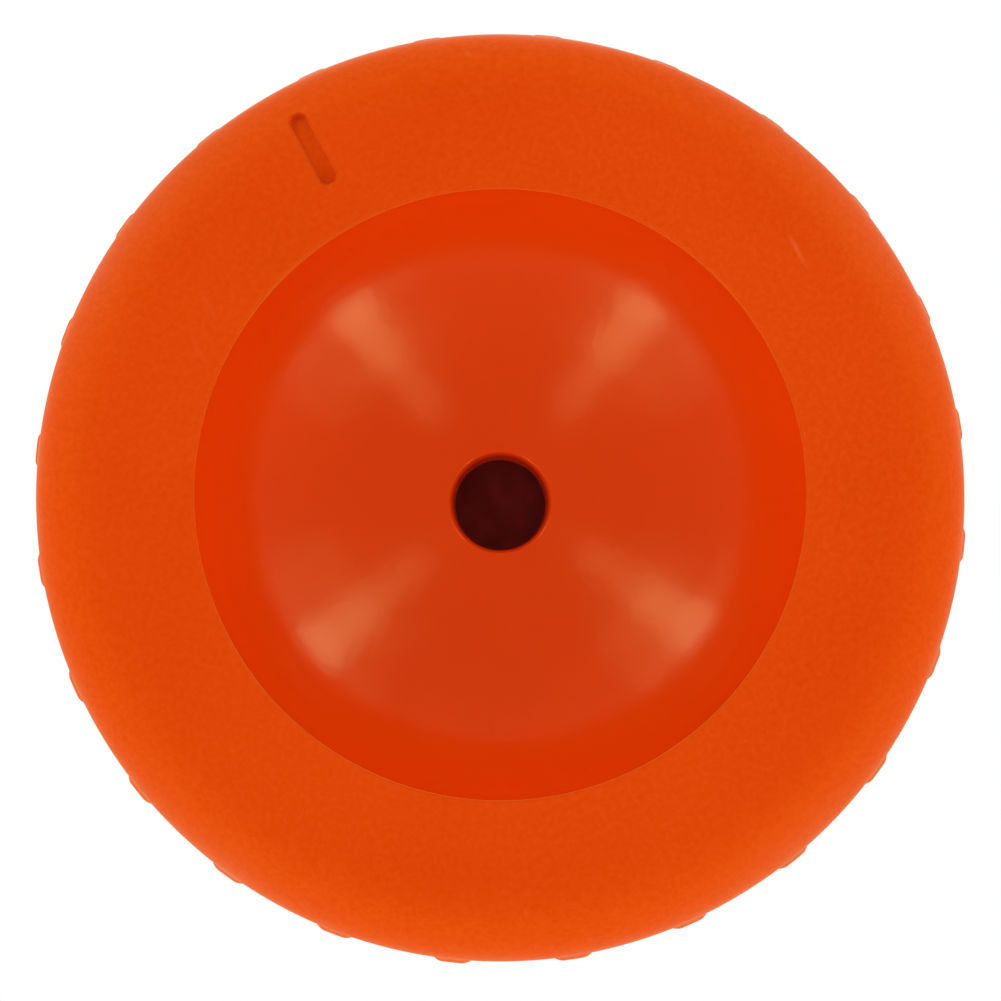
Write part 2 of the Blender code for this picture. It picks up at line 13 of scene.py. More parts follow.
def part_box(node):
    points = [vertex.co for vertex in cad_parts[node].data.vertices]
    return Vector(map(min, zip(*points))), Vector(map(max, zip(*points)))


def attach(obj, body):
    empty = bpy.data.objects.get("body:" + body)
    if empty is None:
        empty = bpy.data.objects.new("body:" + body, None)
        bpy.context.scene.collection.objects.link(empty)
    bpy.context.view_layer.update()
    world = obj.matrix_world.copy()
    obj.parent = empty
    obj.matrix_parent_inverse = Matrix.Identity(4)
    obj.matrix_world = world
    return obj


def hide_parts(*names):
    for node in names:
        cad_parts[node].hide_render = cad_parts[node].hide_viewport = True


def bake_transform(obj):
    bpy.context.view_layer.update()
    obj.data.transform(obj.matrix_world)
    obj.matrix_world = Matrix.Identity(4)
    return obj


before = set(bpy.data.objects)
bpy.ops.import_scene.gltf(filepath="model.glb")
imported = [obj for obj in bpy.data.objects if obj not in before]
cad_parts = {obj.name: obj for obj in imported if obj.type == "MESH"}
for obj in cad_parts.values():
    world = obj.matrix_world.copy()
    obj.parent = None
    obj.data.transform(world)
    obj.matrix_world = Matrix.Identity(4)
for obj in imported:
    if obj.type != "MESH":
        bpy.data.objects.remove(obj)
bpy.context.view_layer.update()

MM = 0.001

# Sizes read from the CAD model
BULB_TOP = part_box("bulb_body")[1].z
CUP_LOW, CUP_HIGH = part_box("base_cup")
SOCKET_LOW, SOCKET_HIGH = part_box("neck_socket")
COLLAR_LOW, COLLAR_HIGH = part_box("neck_collar")
NOZZLE_LOW, NOZZLE_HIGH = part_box("nozzle_body")
TIP_LOW, TIP_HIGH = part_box("nozzle_tip")
SEAL_LOW, SEAL_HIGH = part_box("nozzle_seal")

# Clearance between pieces that touch
GAP = 0.3 * MM

# Bulb: foot, dome and neck, then the rings of its mesh
SHOULDER_RADIUS = 30.0 * MM
SHOULDER_WIDTH = 5.3 * MM
SHOULDER_HEIGHT = 3.7 * MM
FOOT_RADIUS = SHOULDER_RADIUS - SHOULDER_WIDTH
MOUTH_RADIUS = FOOT_RADIUS - 5.0 * MM
MOUTH_EDGE = 0.22 * MM
LIP_THICKNESS = 0.9 * MM
NECK_RADIUS = SOCKET_HIGH.x
NECK_BORE = 6.2 * MM
NECK_LENGTH = 7.5 * MM
NECK_EDGE = 0.8 * MM
NECK_FILLET = 5.0 * MM
BULB_WALL = 2.8 * MM
NECK_BORE_CHAMFER = 0.2 * MM
DOME_TOP = BULB_TOP - NECK_LENGTH
DOME_FULLNESS = 2.2
SNAP_BEAD_HEIGHT = 1.9 * MM
CAVITY_LEAD = 5.5 * MM
FOOT_RINGS = 5
SLOT_RINGS = 60
SHOULDER_RINGS = 14
GRIP_RINGS = 18
DOME_RINGS = 64
CAVITY_RINGS = 24

# Grip: narrow lands between wide shallow flutes
LAND_COUNT = 24
LAND_PITCH = 2.0 * math.pi / LAND_COUNT
LAND_PHASE = math.radians(4.4)
LAND_RISE = 0.25 * MM
LAND_RUN_IN = 1.0 * MM
LAND_RADIUS = SHOULDER_RADIUS + LAND_RISE
LAND_HALF_WIDTH = 0.64 * MM
FLUTE_WALL = 1.40 * MM
FLUTE_DEPTH = 0.9 * MM
FLUTE_HOLLOW = 0.16
# Distances from a land's middle to the mesh columns beside it, in millimetres
LAND_EDGE_POINTS = (0.35, 0.64, 0.78, 0.92, 1.04, 1.16, 1.30, 1.48, 1.7, 2.04, 2.6, 3.2)
GRIP_START = SHOULDER_HEIGHT + 0.4 * MM
GRIP_RUN_IN = 3.0 * MM
# Share of the run-in that lies behind the flutes where they start
GRIP_LEAD = 0.35
GRIP_END = DOME_TOP - 13.0 * MM
GRIP_RUN_OUT = 11.0 * MM

# Index slot in the foot
SLOT_LENGTH = 5.0 * MM
SLOT_WIDTH = 1.16 * MM
SLOT_RADIUS = 25.25 * MM
SLOT_DEPTH = 0.64 * MM
SLOT_EDGE = 0.20 * MM
SLOT_LIP = 0.65
SLOT_MARGIN = 0.3 * MM
SLOT_REACH = 1.25 * MM
SLOT_COLUMNS = 36
MIN_COLUMN = 0.03 * MM
SLOT_AZIMUTH = math.radians(-90.0)

# Base cup
DISH_DEPTH = 12.0 * MM
CUP_WALL = 1.8 * MM
FLANGE_RADIUS = CUP_HIGH.x
FLANGE_BOTTOM = CUP_LOW.z
FLANGE_THICKNESS = 1.8 * MM
HOLE_RADIUS = 2.98 * MM
HOLE_TAPER = 0.14 * MM
HOLE_LIP_WIDTH = 0.30 * MM
HOLE_LIP_HEIGHT = 0.85 * MM
HOLE_LIP_STEPS = 10
CUP_SEAM = 0.03 * MM
CUP_SIDES = 256
DISH_RINGS = 72
CUP_BACK_RINGS = 16
BOSS_FLOOR = 15.0 * MM
BOSS_BORE = 6.9 * MM
BOSS_RADIUS = 8.6 * MM
SNAP_DEPTH = 0.7 * MM
SNAP_HEIGHT = 0.8 * MM

# Neck socket: a tube with a barb below, the nozzle's bore and the ball's chamber above
AIR_HOLE = 1.4 * MM
SOCKET_BORE = 4.2 * MM
SOCKET_CHAMFER = 0.3 * MM
SOCKET_TUBE = SOCKET_BORE + 1.7 * MM
SOCKET_BARB = SOCKET_TUBE + 1.1 * MM
BARB_TOP = DOME_TOP - BULB_WALL - 3.0 * MM
BARB_LENGTH = 2.0 * MM
BARB_LAND = 0.5 * MM
SOCKET_SIDES = 128
CHAMBER_RADIUS = 2.8 * MM
CHAMBER_TOP = SOCKET_HIGH.z - 10.8 * MM + GAP
CHAMBER_HEIGHT = 4.1 * MM
SEAT_BOTTOM = CHAMBER_TOP - 5.5 * MM

# Neck collar
COLLAR_BORE = NECK_RADIUS + 0.05 * MM
COLLAR_EDGE = 0.4 * MM
COLLAR_CHAMFER = 0.2 * MM
COLLAR_RINGS = 26
KNURL_COUNT = 60
KNURL_COLUMNS = 10
KNURL_DEPTH = 0.28 * MM
KNURL_MARGIN = 0.9 * MM
KNURL_RUN_IN = 0.35 * MM

# Nozzle: plug with a groove for its seal, flange, ribbed hub and long cone
NOZZLE_BORE = 1.3 * MM
PLUG_RADIUS = 3.9 * MM
PLUG_CHAMFER = 0.4 * MM
GROOVE_RADIUS = 2.4 * MM
GROOVE_HALF = 0.9 * MM
FLANGE_HEIGHT = 1.8 * MM
HUB_RADIUS = 5.6 * MM
HUB_HEIGHT = 7.0 * MM
HUB_FILLET = 0.5 * MM
HUB_RINGS = 24
RIB_COUNT = 16
RIB_DEPTH = 0.35 * MM
RIB_RUN_IN = 0.8 * MM
CONE_END_RADIUS = 2.7 * MM
CONE_END_EDGE = 0.4 * MM
CONE_SWEEP = 1.6
CONE_RINGS = 60
NOZZLE_SIDES = 160
TIP_HOLE = 1.52 * MM
TIP_WALL = 0.4 * MM
TIP_OUTER_EDGE = 0.15 * MM
TIP_INNER_EDGE = 0.1 * MM
TIP_RINGS = 12
SMALL_SIDES = 96
SEAL_STEPS = 20

# Camera: the photograph looks almost straight at the base, a little from one side
CAMERA_DISTANCE = 0.42
CAMERA_TILT = math.radians(2.9)
CAMERA_UP_AZIMUTH = math.radians(-61.52)
CAMERA_LENS = 235.8
CAMERA_SENSOR = 36.0
AIM_DOWN = 0.458 * MM
AIM_RIGHT = 0.017 * MM

# Light: image angle of each strip lamp and of the side lamp near it, then (elevation, radiance)
AMBIENT_BELOW = 0.40
AMBIENT_ABOVE = 0.80
BACKDROP_LOW = 0.61
BACKDROP_RISE = 0.4
LAMP_ANGLES = ((41.5, 23.0), (144.0, 131.0), (231.5, 212.0), (310.0, 330.0))
STRIPS = ((-56.0, 1.8), (-36.0, 3.6), (-16.0, 4.2), (5.0, 2.6), (27.0, 1.3))
STRIP_DISTANCE = 0.60
STRIP_SIZE = (0.13, 0.22)
SURROUNDS = ((-40.0, 0.28), (-12.0, 0.50), (14.0, 0.36))
SURROUND_DISTANCE = 0.66
SURROUND_SIZE = (0.44, 0.28)
SIDE_LAMP_SIZE = (0.15, 0.42)
SIDE_LAMP_ELEVATION = -26.0
SIDE_LAMP_RADIANCE = 0.55

# Floor
FLOOR_RADIUS = 3.0
FLOOR_DROP = 0.2 * MM

# Curves ----------------------------------------------------------------------------------------

def smooth_step(value):
    value = min(max(value, 0.0), 1.0)
    return value * value * (3.0 - 2.0 * value)


def smooth_max(first, second, reach):
    near = max(reach - abs(first - second), 0.0) / reach
    return max(first, second) + near * near * reach / 4.0


def arc(centre, radius, start, end, steps):
    """Points on a circle in the (r, z) plane, with angles in degrees."""
    points = []
    for index in range(steps + 1):
        angle = math.radians(start + (end - start) * index / steps)
        points.append((centre[0] + radius * math.cos(angle), centre[1] + radius * math.sin(angle)))
    return points


def spread(start, end, steps):
    """Evenly spaced values from start to end, without the start."""
    return [start + (end - start) * index / steps for index in range(1, steps + 1)]


def line(start, end, steps):
    """Points from start, left out, to end."""
    return list(zip(spread(start[0], end[0], steps), spread(start[1], end[1], steps)))


# Meshes ----------------------------------------------------------------------------------------

def add_object(name, mesh, sharp_degrees=40.0):
    bmesh.ops.recalc_face_normals(mesh, faces=mesh.faces)
    data = bpy.data.meshes.new(name)
    mesh.to_mesh(data)
    mesh.free()
    data.shade_smooth()
    data.set_sharp_from_angle(angle=math.radians(sharp_degrees))
    obj = bpy.data.objects.new(name, data)
    bpy.context.scene.collection.objects.link(obj)
    return obj


def join_rings(mesh, lower, upper):
    count = len(lower)
    for index in range(count):
        after = (index + 1) % count
        mesh.faces.new((lower[index], lower[after], upper[after], upper[index]))


def ring_solid(name, rings, sharp_degrees=40.0):
    """A closed solid from rings of points, each joined to the next and the last to the first."""
    mesh = bmesh.new()
    made = [[mesh.verts.new(point) for point in ring] for ring in rings]
    for lower, upper in zip(made, made[1:]):
        join_rings(mesh, lower, upper)
    join_rings(mesh, made[-1], made[0])
    return add_object(name, mesh, sharp_degrees)


def turned(name, profile, sides, shape=None):
    """Turns a closed (r, z) outline about Z. shape(r, z, angle) may change a point's radius."""
    rings = []
    for r, z in profile:
        ring = []
        for index in range(sides):
            angle = 2.0 * math.pi * index / sides
            radius = shape(r, z, angle) if shape else r
            ring.append((radius * math.cos(angle), radius * math.sin(angle), z))
        rings.append(ring)
    return ring_solid(name, rings)


# Bulb ------------------------------------------------------------------------------------------

def dome_radius(z, inset):
    share = (z - SHOULDER_HEIGHT) / (DOME_TOP - SHOULDER_HEIGHT - inset)
    share = min(max(share, 0.0), 1.0)
    return (LAND_RADIUS - inset) * (1.0 - share ** DOME_FULLNESS) ** (1.0 / DOME_FULLNESS)


def land_radius(z):
    rise = LAND_RISE * (1.0 - smooth_step((z - GRIP_START) / LAND_RUN_IN))
    return smooth_max(dome_radius(z, 0.0), NECK_RADIUS, NECK_FILLET) - rise


def grip_share(z):
    """How deep the flutes are at height z, from 0 to 1."""
    run_in = smooth_step((z - GRIP_START) / GRIP_RUN_IN + GRIP_LEAD)
    run_out = smooth_step((GRIP_END - z) / GRIP_RUN_OUT)
    start = smooth_step((z - SHOULDER_HEIGHT) / (GRIP_START - SHOULDER_HEIGHT))
    return run_in * run_out * start


def flute_share(angle):
    """0 on a land, 1 in the middle of a flute."""
    offset = (angle - LAND_PHASE + LAND_PITCH / 2.0) % LAND_PITCH - LAND_PITCH / 2.0
    distance = abs(offset) * LAND_RADIUS
    wall = smooth_step((distance - LAND_HALF_WIDTH) / FLUTE_WALL)
    half_pitch = LAND_PITCH * LAND_RADIUS / 2.0
    across = min(max((distance - LAND_HALF_WIDTH) / (half_pitch - LAND_HALF_WIDTH), 0.0), 1.0)
    return wall * (1.0 - FLUTE_HOLLOW + FLUTE_HOLLOW * math.sin(across * math.pi / 2.0))


def slot_share(x, y):
    """How deep the index slot is at a point of the foot, from 0 to 1."""
    centre_x = SLOT_RADIUS * math.cos(SLOT_AZIMUTH)
    centre_y = SLOT_RADIUS * math.sin(SLOT_AZIMUTH)
    cosine = math.cos(SLOT_AZIMUTH)
    sine = math.sin(SLOT_AZIMUTH)
    along = (x - centre_x) * cosine + (y - centre_y) * sine
    across = (y - centre_y) * cosine - (x - centre_x) * sine
    straight = (SLOT_LENGTH - SLOT_WIDTH) / 2.0
    past = max(abs(along) - straight, 0.0)
    inside = SLOT_WIDTH / 2.0 - math.hypot(past, across)
    return smooth_step(inside / SLOT_EDGE + SLOT_LIP)


def bulb_angles():
    """Angles round the bulb, closer together at each land's edges and at the index slot."""
    offsets = [0.0]
    for distance in LAND_EDGE_POINTS:
        offsets += [distance * MM / LAND_RADIUS, -distance * MM / LAND_RADIUS]
    offsets.append(LAND_PITCH / 2.0)
    angles = []
    for index in range(LAND_COUNT):
        middle = LAND_PHASE + index * LAND_PITCH
        angles += [middle + offset for offset in offsets]
    reach = SLOT_REACH / SLOT_RADIUS
    for index in range(SLOT_COLUMNS + 1):
        angles.append(SLOT_AZIMUTH - reach + 2.0 * reach * index / SLOT_COLUMNS)
    full = 2.0 * math.pi
    angles = sorted(angle % full for angle in angles)
    kept = [angles[0]]
    for angle in angles[1:]:
        if angle - kept[-1] > MIN_COLUMN / LAND_RADIUS:
            kept.append(angle)
    return kept


def foot_height(r):
    """Height of the foot's underside and shoulder at radius r."""
    if r <= FOOT_RADIUS:
        return 0.0
    share = min((r - FOOT_RADIUS) / SHOULDER_WIDTH, 1.0)
    return SHOULDER_HEIGHT * (1.0 - math.sqrt(1.0 - share * share))


def dish_radius(z):
    return MOUTH_RADIUS * math.sqrt(1.0 - (z / DISH_DEPTH) ** 2)


def dish_height(r):
    return DISH_DEPTH * math.sqrt(1.0 - (r / MOUTH_RADIUS) ** 2)


def cup_back_radius(z):
    return (MOUTH_RADIUS + CUP_WALL) * math.sqrt(1.0 - (z / (DISH_DEPTH + CUP_WALL)) ** 2)


def cup_back_height(r):
    return (DISH_DEPTH + CUP_WALL) * math.sqrt(1.0 - (r / (MOUTH_RADIUS + CUP_WALL)) ** 2)


def bulb_rows():
    """The bulb's outline as (radius, z), all round its wall: lip, foot, dome, neck and cavity."""
    edge = MOUTH_RADIUS + MOUTH_EDGE
    rows = [(dish_radius(LIP_THICKNESS), LIP_THICKNESS)]
    rows += arc((edge, MOUTH_EDGE), MOUTH_EDGE, 180.0, 270.0, 5)
    slot_inner = SLOT_RADIUS - SLOT_LENGTH / 2.0 - SLOT_MARGIN
    slot_outer = SLOT_RADIUS + SLOT_LENGTH / 2.0 + SLOT_MARGIN
    rows += [(r, 0.0) for r in spread(edge, slot_inner, FOOT_RINGS)]
    rows += [(r, foot_height(r)) for r in spread(slot_inner, slot_outer, SLOT_RINGS)]
    first_turn = math.asin((slot_outer - FOOT_RADIUS) / SHOULDER_WIDTH)
    for turn in spread(first_turn, math.pi / 2.0, SHOULDER_RINGS):
        z = SHOULDER_HEIGHT * (1.0 - math.cos(turn))
        rows.append((FOOT_RADIUS + SHOULDER_WIDTH * math.sin(turn), z))
    start = GRIP_START + GRIP_RUN_IN
    rows += [(land_radius(z), z) for z in spread(SHOULDER_HEIGHT, start, GRIP_RINGS)]
    for turn in spread(0.0, math.pi / 2.0, DOME_RINGS):
        z = start + (DOME_TOP - start) * math.sin(turn)
        rows.append((land_radius(z), z))
    rows += line((NECK_RADIUS, DOME_TOP), (NECK_RADIUS, BULB_TOP - NECK_EDGE), 4)
    rows += arc((NECK_RADIUS - NECK_EDGE, BULB_TOP - NECK_EDGE), NECK_EDGE, 0.0, 90.0, 6)[1:]
    rows += [(NECK_BORE + NECK_BORE_CHAMFER, BULB_TOP), (NECK_BORE, BULB_TOP - NECK_BORE_CHAMFER)]
    flange_top = FLANGE_BOTTOM + FLANGE_THICKNESS
    bead_top = flange_top + SNAP_BEAD_HEIGHT
    cavity_start = bead_top + CAVITY_LEAD
    inner_top = DOME_TOP - BULB_WALL
    for turn in spread(math.pi / 2.0, 0.0, CAVITY_RINGS):
        z = cavity_start + (inner_top - cavity_start) * math.sin(turn)
        rows.append((smooth_max(dome_radius(z, BULB_WALL), NECK_BORE, NECK_FILLET / 2.0), z))
    bead_radius = cup_back_radius(flange_top) + GAP
    rows += [(bead_radius, bead_top), (bead_radius, flange_top + GAP)]
    rows += [(FLANGE_RADIUS + GAP, flange_top + GAP), (FLANGE_RADIUS + GAP, LIP_THICKNESS)]
    return rows


def make_bulb():
    rows = bulb_rows()
    angles = bulb_angles()
    flutes = [flute_share(angle) for angle in angles]
    outer_end = rows.index((NECK_BORE + NECK_BORE_CHAMFER, BULB_TOP))
    slot_direction = Vector((math.cos(SLOT_AZIMUTH), math.sin(SLOT_AZIMUTH)))
    rings = []
    for index, (radius, z) in enumerate(rows):
        on_outside = index < outer_end and z > SHOULDER_HEIGHT
        depth = FLUTE_DEPTH * grip_share(z) if on_outside else 0.0
        near_slot = index < outer_end and radius > MOUTH_RADIUS + MOUTH_EDGE and z < SHOULDER_HEIGHT
        ring = []
        for angle, flute in zip(angles, flutes):
            r = radius - depth * flute
            x = r * math.cos(angle)
            y = r * math.sin(angle)
            lift = 0.0
            if near_slot and x * slot_direction.x + y * slot_direction.y > 0.9 * r:
                lift = SLOT_DEPTH * slot_share(x, y)
            ring.append((x, y, z + lift))
        rings.append(ring)
    bulb = ring_solid("bulb_skin", rings, 50.0)
    bulb.data.materials.append(soft_orange())
    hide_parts("bulb_body")
    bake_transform(bulb)


# Base cup --------------------------------------------------------------------------------------

def make_cup():
    lip_end = HOLE_RADIUS + HOLE_TAPER
    lip_start = lip_end + HOLE_LIP_WIDTH
    lip_top = dish_height(lip_start) + HOLE_LIP_HEIGHT
    profile = [(HOLE_RADIUS, BOSS_FLOOR)]
    for x, y in arc((0.0, 0.0), 1.0, 180.0, 270.0, HOLE_LIP_STEPS):
        profile.append((lip_start + HOLE_LIP_WIDTH * x, lip_top + HOLE_LIP_HEIGHT * y))
    inner_turn = math.asin(lip_start / MOUTH_RADIUS)
    rim = LIP_THICKNESS + CUP_SEAM
    outer_turn = math.asin(dish_radius(rim) / MOUTH_RADIUS)
    for turn in spread(inner_turn, outer_turn, DISH_RINGS):
        radius = MOUTH_RADIUS * math.sin(turn)
        profile.append((radius, dish_height(radius)))
    flange_top = FLANGE_BOTTOM + FLANGE_THICKNESS
    profile += [(FLANGE_RADIUS, rim), (FLANGE_RADIUS, flange_top)]
    for radius in spread(cup_back_radius(flange_top), BOSS_RADIUS, CUP_BACK_RINGS):
        profile.append((radius, cup_back_height(radius)))
    snap_radius = BOSS_BORE - SNAP_DEPTH
    snap_bottom = CUP_HIGH.z - SNAP_HEIGHT
    profile += [(BOSS_RADIUS, CUP_HIGH.z), (snap_radius, CUP_HIGH.z), (snap_radius, snap_bottom)]
    profile += [(BOSS_BORE, snap_bottom), (BOSS_BORE, BOSS_FLOOR)]
    cup = turned("base_cup_dish", profile, CUP_SIDES)
    cup.data.materials.append(cup_orange())
    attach(cup, "base")
    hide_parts("base_cup")


# Neck and nozzle -------------------------------------------------------------------------------

def rounded(corner, size, start, steps=5):
    """A convex corner of an outline, rounded; start is the arc's first angle in degrees."""
    towards = math.radians(start + 45.0)
    reach = size * math.sqrt(2.0)
    centre = (corner[0] - reach * math.cos(towards), corner[1] - reach * math.sin(towards))
    return arc(centre, size, start, start + 90.0, steps)


def make_socket():
    low, high = SOCKET_LOW.z, SOCKET_HIGH.z
    bottom = BULB_TOP + GAP
    profile = [(AIR_HOLE, low), (SOCKET_TUBE, low), (SOCKET_TUBE, BARB_TOP - BARB_LENGTH)]
    profile += [(SOCKET_BARB, BARB_TOP - BARB_LAND), (SOCKET_BARB, BARB_TOP)]
    profile += [(SOCKET_TUBE, BARB_TOP), (SOCKET_TUBE, bottom)]
    profile += rounded((NECK_RADIUS, bottom), 0.25 * MM, -90.0)
    profile += rounded((NECK_RADIUS, high), 0.6 * MM, 0.0, 7)
    profile += [(SOCKET_BORE + SOCKET_CHAMFER, high), (SOCKET_BORE, high - SOCKET_CHAMFER)]
    profile += [(SOCKET_BORE, CHAMBER_TOP)]
    profile += [(CHAMBER_RADIUS, CHAMBER_TOP), (CHAMBER_RADIUS, CHAMBER_TOP - CHAMBER_HEIGHT)]
    profile += [(AIR_HOLE, SEAT_BOTTOM)]
    socket = turned("neck_socket_bush", profile, SOCKET_SIDES)
    socket.data.materials.append(black_plastic("socket_black", 0.42))
    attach(socket, "head")
    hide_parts("neck_socket")


def make_collar():
    low, high = COLLAR_LOW.z, COLLAR_HIGH.z
    outer = COLLAR_HIGH.x
    land_low = low + KNURL_MARGIN
    land_high = high - KNURL_MARGIN

    def knurl(r, z, angle):
        if r < outer - 0.01 * MM:
            return r
        low_end = smooth_step((z - land_low) / KNURL_RUN_IN)
        ends = min(low_end, smooth_step((land_high - z) / KNURL_RUN_IN))
        wave = 0.5 - 0.5 * math.cos(angle * KNURL_COUNT)
        return r - KNURL_DEPTH * wave ** 1.5 * ends

    profile = [(COLLAR_BORE + COLLAR_CHAMFER, low)]
    profile += rounded((outer, low), COLLAR_EDGE, -90.0)
    profile += [(outer, z) for z in spread(low + COLLAR_EDGE, high - COLLAR_EDGE, COLLAR_RINGS)]
    profile += rounded((outer, high), COLLAR_EDGE, 0.0)[1:]
    profile += [(COLLAR_BORE + COLLAR_CHAMFER, high), (COLLAR_BORE, high - COLLAR_CHAMFER)]
    profile += [(COLLAR_BORE, low + COLLAR_CHAMFER)]
    collar = turned("neck_collar_ring", profile, KNURL_COUNT * KNURL_COLUMNS, knurl)
    collar.data.materials.append(black_plastic("collar_black", 0.36))
    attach(collar, "head")
    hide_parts("neck_collar")


def make_nozzle():
    low, high = NOZZLE_LOW.z, NOZZLE_HIGH.z
    flange_bottom = SOCKET_HIGH.z + GAP
    hub_bottom = flange_bottom + FLANGE_HEIGHT
    hub_top = hub_bottom + HUB_HEIGHT
    seal_middle = (SEAL_LOW.z + SEAL_HIGH.z) / 2.0
    groove_low = seal_middle - GROOVE_HALF
    groove_high = seal_middle + GROOVE_HALF

    def grip(r, z, angle):
        if r < HUB_RADIUS - 0.02 * MM or r > HUB_RADIUS + 0.02 * MM:
            return r
        low_end = smooth_step((z - hub_bottom - 0.9 * MM) / RIB_RUN_IN)
        ends = low_end * smooth_step((hub_top - 0.2 * MM - z) / RIB_RUN_IN)
        wave = smooth_step((0.5 - 0.5 * math.cos(angle * RIB_COUNT)) * 1.6 - 0.3)
        return r - RIB_DEPTH * wave * ends

    profile = [(NOZZLE_BORE, low), (PLUG_RADIUS - PLUG_CHAMFER, low)]
    profile += [(PLUG_RADIUS, low + PLUG_CHAMFER), (PLUG_RADIUS, groove_low)]
    profile += [(GROOVE_RADIUS, groove_low), (GROOVE_RADIUS, groove_high)]
    profile += [(PLUG_RADIUS, groove_high), (PLUG_RADIUS, flange_bottom)]
    profile += rounded((NOZZLE_HIGH.x, flange_bottom), 0.25 * MM, -90.0)
    profile += rounded((NOZZLE_HIGH.x, hub_bottom), 0.7 * MM, 0.0, 7)
    fillet_centre = (HUB_RADIUS + HUB_FILLET, hub_bottom + HUB_FILLET)
    profile += arc(fillet_centre, HUB_FILLET, -90.0, -180.0, 5)
    profile += [(HUB_RADIUS, z) for z in spread(hub_bottom + HUB_FILLET, hub_top, HUB_RINGS)]
    for share in spread(0.0, 1.0, CONE_RINGS):
        radius = CONE_END_RADIUS + (HUB_RADIUS - CONE_END_RADIUS) * (1.0 - share) ** CONE_SWEEP
        profile.append((radius, hub_top + (high - CONE_END_EDGE - hub_top) * share))
    profile += rounded((CONE_END_RADIUS, high), CONE_END_EDGE, 0.0)[1:]
    hold = TIP_LOW.z - GAP
    profile += [(TIP_HOLE, high), (TIP_HOLE, hold), (NOZZLE_BORE, hold)]
    nozzle = turned("nozzle_cone", profile, NOZZLE_SIDES, grip)
    nozzle.data.materials.append(black_plastic("nozzle_black", 0.28))
    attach(nozzle, "nozzle")
    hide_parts("nozzle_body")


def make_tip():
    outer = TIP_HIGH.x
    bore = outer - TIP_WALL
    low, high = TIP_LOW.z, TIP_HIGH.z
    profile = [(bore, low), (outer, low)]
    profile += line((outer, low), (outer, high - TIP_OUTER_EDGE), TIP_RINGS)
    profile += rounded((outer, high), TIP_OUTER_EDGE, 0.0)[1:]
    profile += rounded((bore, high), TIP_INNER_EDGE, 90.0)
    profile[-1] = (bore, high - TIP_INNER_EDGE)
    tip = turned("nozzle_tip_tube", profile, SMALL_SIDES)
    tip.data.materials.append(brass())
    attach(tip, "nozzle")
    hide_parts("nozzle_tip")


def make_seal():
    radius = (SEAL_HIGH.z - SEAL_LOW.z) / 2.0
    middle = (SEAL_HIGH.x - radius, (SEAL_HIGH.z + SEAL_LOW.z) / 2.0)
    outline = arc(middle, radius, 0.0, 360.0, SEAL_STEPS)[:-1]
    seal = turned("nozzle_seal_ring", outline, SMALL_SIDES)
    seal.data.materials.append(dark_rubber("seal_rubber_black", (0.018, 0.018, 0.019)))
    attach(seal, "nozzle_plug")
    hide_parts("nozzle_seal")


# Materials -------------------------------------------------------------------------------------

class Shader:
    """A Principled material with a few helpers for procedural detail in object coordinates."""

    def __init__(self, name, roughness, metallic=0.0):
        self.material = bpy.data.materials.new(name)
        self.material.use_nodes = True
        self.nodes = self.material.node_tree.nodes
        self.links = self.material.node_tree.links
        self.principled = self.nodes["Principled BSDF"]
        self.set("Roughness", roughness)
        self.set("Metallic", metallic)
        self.place = self.nodes.new("ShaderNodeTexCoord").outputs["Object"]

    def set(self, socket, value):
        self.principled.inputs[socket].default_value = value

    def link(self, output, socket):
        self.links.new(output, self.principled.inputs[socket])

    def noise(self, scale, detail=2.0, stretch=None):
        node = self.nodes.new("ShaderNodeTexNoise")
        node.inputs["Scale"].default_value = scale
        node.inputs["Detail"].default_value = detail
        place = self.place
        if stretch:
            mapping = self.nodes.new("ShaderNodeMapping")
            mapping.inputs["Scale"].default_value = stretch
            self.links.new(place, mapping.inputs["Vector"])
            place = mapping.outputs["Vector"]
        self.links.new(place, node.inputs["Vector"])
        return node.outputs["Fac"]

    def span(self, value, low, high, to_low, to_high):
        """Maps value from low..high to to_low..to_high, clamped."""
        node = self.nodes.new("ShaderNodeMapRange")
        node.inputs["From Min"].default_value = low
        node.inputs["From Max"].default_value = high
        node.inputs["To Min"].default_value = to_low
        node.inputs["To Max"].default_value = to_high
        self.links.new(value, node.inputs["Value"])
        return node.outputs["Result"]

    def math(self, operation, first, second):
        node = self.nodes.new("ShaderNodeMath")
        node.operation = operation
        for socket, value in zip(node.inputs, (first, second)):
            if isinstance(value, float):
                socket.default_value = value
            else:
                self.links.new(value, socket)
        return node.outputs["Value"]

    def mix(self, factor, first, second):
        """Colour mix; first and second are linear RGB tuples or colour outputs."""
        node = self.nodes.new("ShaderNodeMix")
        node.data_type = "RGBA"
        self.links.new(factor, node.inputs["Factor"])
        for socket, value in ((node.inputs["A"], first), (node.inputs["B"], second)):
            socket = [s for s in node.inputs if s.name == socket.name and s.type == "RGBA"][0]
            if isinstance(value, tuple):
                socket.default_value = (*value, 1.0)
            else:
                self.links.new(value, socket)
        return [s for s in node.outputs if s.type == "RGBA"][0]

    def axes(self):
        """The place's X, Y and Z outputs."""
        split = self.nodes.new("ShaderNodeSeparateXYZ")
        self.links.new(self.place, split.inputs["Vector"])
        return split.outputs

    def radius(self):
        """Distance from the Z axis."""
        axes = self.axes()
        squares = [self.math("MULTIPLY", axes[axis], axes[axis]) for axis in "XY"]
        return self.math("SQRT", self.math("ADD", *squares), 0.0)

    def height(self):
        return self.axes()["Z"]

    def bump(self, *layers):
        """Bump from (height output, distance in metres) layers."""
        normal = None
        for height, distance in layers:
            node = self.nodes.new("ShaderNodeBump")
            node.inputs["Strength"].default_value = 1.0
            node.inputs["Distance"].default_value = distance
            self.links.new(height, node.inputs["Height"])
            if normal:
                self.links.new(normal, node.inputs["Normal"])
            normal = node.outputs["Normal"]
        self.link(normal, "Normal")


